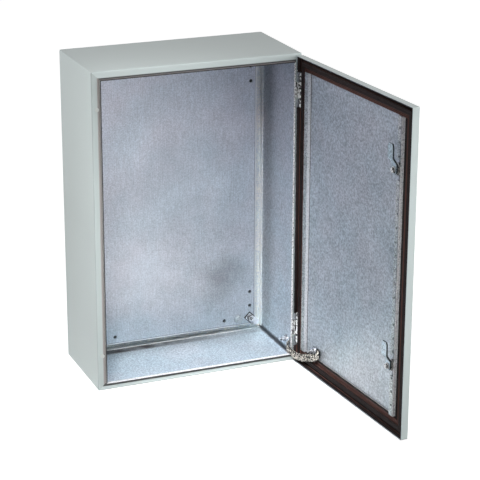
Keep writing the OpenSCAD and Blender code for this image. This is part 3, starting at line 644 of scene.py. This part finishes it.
# Dark matt core, painted shade between the strands
braid_shade_mat = rubber_material("braid_shade_core", (0.02, 0.013, 0.009))

by_slot = {"galvanised_sheet": back_mat, "bright_zinc": bright_mat, "nickel_plating": nickel_mat,
           "seal_rubber": rubber_mat, "grey_plastic": plug_mat, "tinned_braid": braid_mat}
own = {}
for mat, names in ((wall_mat, "left_side top_wall"), (side_wall_mat, "right_side"),
                   (floor_wall_mat, "floor_wall"), (door_mat, "door_panel"),
                   (plate_mat, "mounting_plate"), (rail_mat, "hinge_side_rail lock_side_rail"),
                   (dull_mat, "plate_studs plate_washers plate_nuts"),
                   (terminal_mat, "plate_earth_bolt plate_earth_nut plate_earth_washer"),
                   (tab_mat, "plate_earth_tab"), (cam_mat, "upper_lock_cam lower_lock_cam"),
                   (screw_mat, "upper_cam_screw lower_cam_screw lock_nuts"),
                   (hinge_mat, "hinge_door_leaves hinge_frame_leaves hinge_pins")):
    own.update(dict.fromkeys(names.split(), mat))
slots = {s["node"]: s["material_slot"] for s in frame["record"]["subparts"]}
for name, obj in nodes.items():
    obj.data.materials.clear()
    obj.data.materials.append(own.get(name) or by_slot[slots[name]])

# ---- Seal ----


def smooth_piece(name, verts, faces, mat, slot_name):
    """A new visible piece with smooth shading."""
    mesh = bpy.data.meshes.new(name)
    mesh.from_pydata([tuple(v) for v in verts], [], faces)
    mesh.validate()
    mesh.polygons.foreach_set("use_smooth", [True] * len(mesh.polygons))
    mesh.materials.append(mat)
    obj = bpy.data.objects.new(name, mesh)
    scene.collection.objects.link(obj)
    return obj


def sweep(verts, faces, path, profile, closed):
    """A profile of (u, v) points swept along a path. Each station of the path gives the x and z on
    the shut door of every point of the profile, and v is its distance forwards, in mm."""
    n = len(profile)
    base = len(verts)
    for station in path:
        for k, (u, v) in enumerate(profile):
            x, z = station(k, u)
            verts.append(door_point(x, v * MM, z))
    count = len(path)
    for i in range(count if closed else count - 1):
        j = (i + 1) % count
        for k in range(n):
            m = (k + 1) % n
            faces.append((base + i * n + k, base + j * n + k, base + j * n + m, base + i * n + m))
    if not closed:
        faces.append(tuple(base + k for k in range(n)))
        faces.append(tuple(base + (count - 1) * n + k for k in reversed(range(n))))


def corner(sx, sz, across=None):
    """The mitred corner at that side and end. across gives other u values for the upright run."""
    def at(k, u):
        ux = across[k] if across else u
        return sx * (door_w / 2 - ux * MM), sz * (door_h / 2 - u * MM)
    return at


def on_side(sx, z):
    """A square cut through a vertical run at height z."""
    return lambda k, u: (sx * (door_w / 2 - u * MM), z)


def ridge(u, top, half, foot):
    """Profile of one rib at u, from its foot up to its rounded top."""
    return [(u - half, foot), (u - 0.62 * half, top + 0.35), (u - 0.2 * half, top),
            (u + 0.2 * half, top), (u + 0.62 * half, top + 0.35), (u + half, foot)]


HINGE_HALF = 30 * MM  # from the middle of a hinge to its end
HINGE_ROOM = 33 * MM  # from the middle of a hinge to the seal's leg
SKIN_IN = 198.5  # inner face of the door's skin, in mm from the wall
RIB_FOOT = 195.0
RAIL_GAP = 41.5  # from the door's edge to the lock rail, in mm
hinge_z = abs(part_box("hinge_pins")[1].z) - HINGE_HALF
verts, faces = [], []
# Bead that the body's lip presses into, with the mark that it leaves
bead = [(9.15, SKIN_IN), (9.15, 192.3), (9.6, 190.9), (10.6, 190.05), (11.9, 189.85),
        (13.3, 189.95), (13.8, 190.35), (14.5, 190.35), (15.0, 189.95), (16.4, 189.85),
        (17.7, 190.05), (18.7, 190.9), (19.15, 192.3), (19.15, SKIN_IN)]
sweep(verts, faces, [corner(1, 1), corner(-1, 1), corner(-1, -1), corner(1, -1)], bead, True)
# Leg on the door's edge and the base under it, which give way to the hinges
leg = [(1.55, 187.3), (1.9, 187), (3.6, 187), (4, 187.4), (4, 190.4), (4.35, 190.7), (4.35, 191.2),
       (4, 191.5), (4, 194.6), (4.7, 195.5), (5.6, 195.5), (6.0, 194.9), (6.8, 194.9), (7.2, 195.5),
       (9.2, 195.5), (9.2, SKIN_IN), (2.6, SKIN_IN), (1.6, 197.3)]
sweep(verts, faces, [on_side(1, hinge_z + HINGE_ROOM), corner(1, 1), corner(-1, 1), corner(-1, -1),
                     corner(1, -1), on_side(1, -hinge_z - HINGE_ROOM)], leg, False)
sweep(verts, faces, [on_side(1, hinge_z - HINGE_ROOM), on_side(1, HINGE_ROOM - hinge_z)], leg,
      False)
# Ribbed inner part along the top, the lock side and the bottom
ribs = [(19.1, 195.4), (19.4, 195.2), *ridge(20.7, 193.1, 0.95, RIB_FOOT),
        *ridge(22.9, 193.3, 0.95, RIB_FOOT), *ridge(25.3, 192.6, 1.1, RIB_FOOT), (26.45, 197.9),
        (26.5, SKIN_IN - 0.25), (26.5, SKIN_IN), (19.1, SKIN_IN)]
# On the lock side the base runs on to the rail as a thin skin
lock_u = [u for u, v in ribs]
lock_u[-3] = lock_u[-2] = RAIL_GAP


def hinge_end(sz):
    """Where the ribs end, beside the bead on the hinge side."""
    return lambda k, u: (door_w / 2 - 19.35 * MM, sz * (door_h / 2 - u * MM))


sweep(verts, faces, [hinge_end(1), corner(-1, 1, lock_u), corner(-1, -1, lock_u), hinge_end(-1)],
      ribs, False)
gasket = smooth_piece("ribbed_gasket", verts, faces, rubber_mat, "seal_rubber")
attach(gasket, "door")
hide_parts("door_gasket")

# ---- Earth strap: a flat tubular braid of 16 strands ----

# Centre line as in the CAD source, from the lower hinge corner of the opening, in mm
BRAID = [(-5, 30, 24), (-9, 23, 24), (-14.5, 16.5, 24.5), (-19, 9, 25), (-21, 0, 25),
         (-20.5, -8, 24.5), (-18, -20, 21), (-15.5, -34, 21), (-13.5, -48, 24), (-11.5, -63, 29),
         (-9.5, -77, 34), (-7.5, -88, 38), (-3.7, -92.5, 40), (0.8, -91.5, 41.5),
         (2.7, -86.5, 42.5), (2.7, -80.5, 43)]


def catmull(points, steps):
    """Catmull-Rom curve through the points, its end points repeated."""
    p = np.array(points, float)
    p = np.vstack([2 * p[0] - p[1], p, 2 * p[-1] - p[-2]])
    out = []
    for i in range(1, len(p) - 2):
        for t in np.arange(steps) / steps:
            out.append(0.5 * (2 * p[i] + (p[i + 1] - p[i - 1]) * t
                              + (2 * p[i - 1] - 5 * p[i] + 4 * p[i + 1] - p[i + 2]) * t ** 2
                              + (3 * p[i] - p[i - 1] - 3 * p[i + 1] + p[i + 2]) * t ** 3))
    return np.array(out + [p[-2]])


fine = catmull(BRAID, 40) * MM + np.array([half_w, -body_d, -half_h])
lengths = np.concatenate([[0], np.cumsum(np.linalg.norm(np.diff(fine, axis=0), axis=1))])
braid_l = lengths[-1]
BRAID_W, BRAID_T = 16 * MM, 1.8 * MM
CARRIERS = 8
STRAND_T = 0.30 * MM
flat_w = BRAID_W - 1.0 * MM  # the tube's section: a flat of that width with round ends
flat_t = BRAID_T / 2 - 2.2 * STRAND_T
side_l, arc_l = flat_w - 2 * flat_t, math.pi * flat_t
around_l = 2 * (side_l + arc_l)
pitch = around_l / CARRIERS


def at_length(s):
    """Points of the strap's curve at those lengths along it."""
    return np.array([np.interp(s, lengths, fine[:, i]) for i in range(3)]).T


def section(phi):
    """Point on the flattened tube and its outward direction, both across and through."""
    phi = np.mod(phi, around_l)
    w, n, mw, mn = (np.zeros_like(phi) for _ in range(4))
    half_l = side_l + arc_l
    for sign, start in ((1, 0.0), (-1, half_l)):
        flat = (phi >= start) & (phi < start + side_l)
        w[flat] = sign * (phi[flat] - start - side_l / 2)
        n[flat], mn[flat] = sign * flat_t, sign
        end = (phi >= start + side_l) & (phi < start + half_l)
        t = (phi[end] - start - side_l) / flat_t
        mw[end], mn[end] = sign * np.sin(t), sign * np.cos(t)
        w[end] = sign * side_l / 2 + flat_t * mw[end]
        n[end] = flat_t * mn[end]
    return w, n, mw, mn


def add_tube(verts, faces, rings):
    """A closed tube through rings of points, all with the same count."""
    base, k = len(verts), len(rings[0])
    for ring in rings:
        verts.extend(tuple(p) for p in ring)
    for j in range(len(rings) - 1):
        for a in range(k):
            b = (a + 1) % k
            faces.append((base + j * k + a, base + j * k + b,
                          base + (j + 1) * k + b, base + (j + 1) * k + a))
    faces.append(tuple(base + a for a in reversed(range(k))))
    faces.append(tuple(base + (len(rings) - 1) * k + a for a in range(k)))


def unit(vectors):
    """Each vector at length 1."""
    return vectors / np.linalg.norm(vectors, axis=1)[:, None]


def braid_mesh():
    """Strands that cross over and under each other round the flattened tube."""
    verts, faces = [], []
    steps = int(round(braid_l / (pitch / 4)))
    s = np.linspace(0, braid_l, steps + 1)
    mid = at_length(s)
    ahead = at_length(np.minimum(s + 1 * MM, braid_l)) - at_length(np.maximum(s - 1 * MM, 0))
    up = np.array([0.0, 0.0, 1.0])
    out = unit(np.cross(ahead, up))
    half = 0.31 * pitch * math.cos(math.pi / 4)
    for way in (1, -1):
        for i in range(CARRIERS):
            phi = i * pitch + way * s
            crossing = (phi + way * s) / pitch
            over = np.clip(1.6 * np.cos(2 * math.pi * (i + crossing - 0.5) / 4), -1, 1) * way
            w, n, mw, mn = section(phi)
            face = up[None] * mw[:, None] + out * mn[:, None]
            lift = over * 0.55 * STRAND_T
            p = mid + up[None] * w[:, None] + out * n[:, None] + face * lift[:, None]
            wide = unit(np.cross(np.gradient(p, axis=0), face))
            corners = (p + wide * half, p + face * STRAND_T + wide * half * 0.45,
                       p + face * STRAND_T - wide * half * 0.45, p - wide * half,
                       p - face * STRAND_T * 0.8)
            add_tube(verts, faces, list(zip(*corners)))
    return verts, faces


def shade_core_mesh():
    """Flat dark core, painted shade that shows between the strands."""
    verts, faces = [], []
    mid = at_length(np.linspace(0, braid_l, 80))
    out = unit(np.cross(np.gradient(mid, axis=0), (0, 0, 1)))
    wide, thick = flat_w / 2, flat_t * 0.8
    outline = [(wide - flat_t, thick), (wide, 0), (wide - flat_t, -thick),
               (flat_t - wide, -thick), (-wide, 0), (flat_t - wide, thick)]
    add_tube(verts, faces, [[m + np.array((0, 0, w)) + o * n for w, n in outline]
                            for m, o in zip(mid, out)])
    return verts, faces


# Dark core under the strands, standing in for the shade between them
shade_core = smooth_piece("braid_shade_core", *shade_core_mesh(), braid_shade_mat, "tinned_braid")
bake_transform(shade_core)
braid = smooth_piece("woven_earth_strap", *braid_mesh(), braid_mat, "tinned_braid")
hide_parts("earth_strap")
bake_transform(braid)

# ---- Floor and light ----

FLOOR_GLOW = 0.88
WORLD_LIGHT = 0.2
FLOOR_HALF = 6
floor_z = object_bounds()[0][2]
g = Graph("floor")
rays = g.tree.nodes.new("ShaderNodeLightPath").outputs
seen = g.math("MAXIMUM", rays["Is Camera Ray"],
              g.math("MAXIMUM", rays["Is Glossy Ray"], rays["Is Transmission Ray"]))
glow = g.add("ShaderNodeEmission",
             {"Color": (1, 1, 1), "Strength": g.math("MULTIPLY", seen, FLOOR_GLOW)})
g.put(g.out.inputs[0], g.add("ShaderNodeAddShader", {0: g.bsdf.outputs[0], 1: glow}))
floor_mesh = bpy.data.meshes.new("floor")
floor_mesh.from_pydata([(x * FLOOR_HALF, y * FLOOR_HALF, floor_z)
                        for x, y in ((-1, -1), (1, -1), (1, 1), (-1, 1))], [], [(0, 1, 2, 3)])
floor_mesh.materials.append(g.shade(Base_Color=(0.42, 0.42, 0.42), Roughness=0.9))
floor = bpy.data.objects.new("floor", floor_mesh)
scene.collection.objects.link(floor)

# The world is white where it is seen, and dim as a light
world = bpy.data.worlds.new("studio")
scene.world = world
world.use_nodes = True
tree = world.node_tree
tree.nodes.clear()
rays = tree.nodes.new("ShaderNodeLightPath").outputs
seen = rays["Is Camera Ray"]
for ray in ("Is Glossy Ray", "Is Transmission Ray"):
    either = tree.nodes.new("ShaderNodeMath")
    either.operation = "MAXIMUM"
    tree.links.new(seen, either.inputs[0])
    tree.links.new(rays[ray], either.inputs[1])
    seen = either.outputs[0]
power = tree.nodes.new("ShaderNodeMapRange")
power.inputs["To Min"].default_value = WORLD_LIGHT
power.inputs["To Max"].default_value = 1.0
background = tree.nodes.new("ShaderNodeBackground")
background.inputs["Color"].default_value = (1, 1, 1, 1)
tree.links.new(seen, power.inputs["Value"])
tree.links.new(power.outputs[0], background.inputs["Strength"])
tree.links.new(background.outputs[0], tree.nodes.new("ShaderNodeOutputWorld").inputs[0])


def softbox(name, at, to, size, power, spread=180):
    """A rectangular lamp at one point that faces another, with its spread in degrees."""
    light = bpy.data.lights.new(name, "AREA")
    light.shape = "RECTANGLE"
    light.size, light.size_y = size
    light.energy = power
    light.spread = math.radians(spread)
    obj = bpy.data.objects.new(name, light)
    scene.collection.objects.link(obj)
    obj.location = at
    obj.rotation_euler = (Vector(to) - Vector(at)).to_track_quat("-Z", "Y").to_euler()
    obj.visible_camera = False


def facing(azimuth, elevation):
    """Direction towards a viewer at that azimuth, 0 in front and positive to the right."""
    a, e = math.radians(azimuth), math.radians(elevation)
    return Vector((math.sin(a) * math.cos(e), -math.cos(a) * math.cos(e), math.sin(e)))


MIDDLE = Vector((0, -0.1, 0))
softbox("key", MIDDLE + 2.8 * facing(20, 30), MIDDLE, (0.45, 0.45), 0.68)
softbox("key_near", (0.45, -1.4, 0.95), (0.2, -0.5, 0.2), (0.4, 0.4), 4.5)
softbox("right", MIDDLE + 2.6 * facing(55, 15), MIDDLE, (0.8, 0.8), 18.4)
softbox("near", (0.9, -1.5, 0.8), (0.1, -0.2, 0.1), (0.5, 0.5), 1.0)
softbox("side", MIDDLE + 2.6 * facing(-120, 25), MIDDLE, (1.2, 1.2), 19.7)
softbox("inside", (-0.45, -0.95, 0.78), (0.08, -0.12, -0.28), (0.35, 0.35), 1.32, spread=36)
softbox("door_edge", (0.066, -0.963, 0.05), (0.22, -0.545, 0.0), (0.06, 0.5), 0.05, spread=44)

# ---- Camera ----

back = facing(-22.58, 19.28)
roll = math.radians(0.22)
camera = bpy.data.objects.new("camera", bpy.data.cameras.new("camera"))
scene.collection.objects.link(camera)
camera.location = (-1.1360, -3.1079, 1.0649)
camera.rotation_mode = "QUATERNION"
camera.rotation_quaternion = (-back).to_track_quat("-Z", "Y") @ Quaternion((0, 0, 1), roll)
camera.data.sensor_width = 36
camera.data.lens = 136.5
camera.data.clip_end = 50
scene.camera = camera
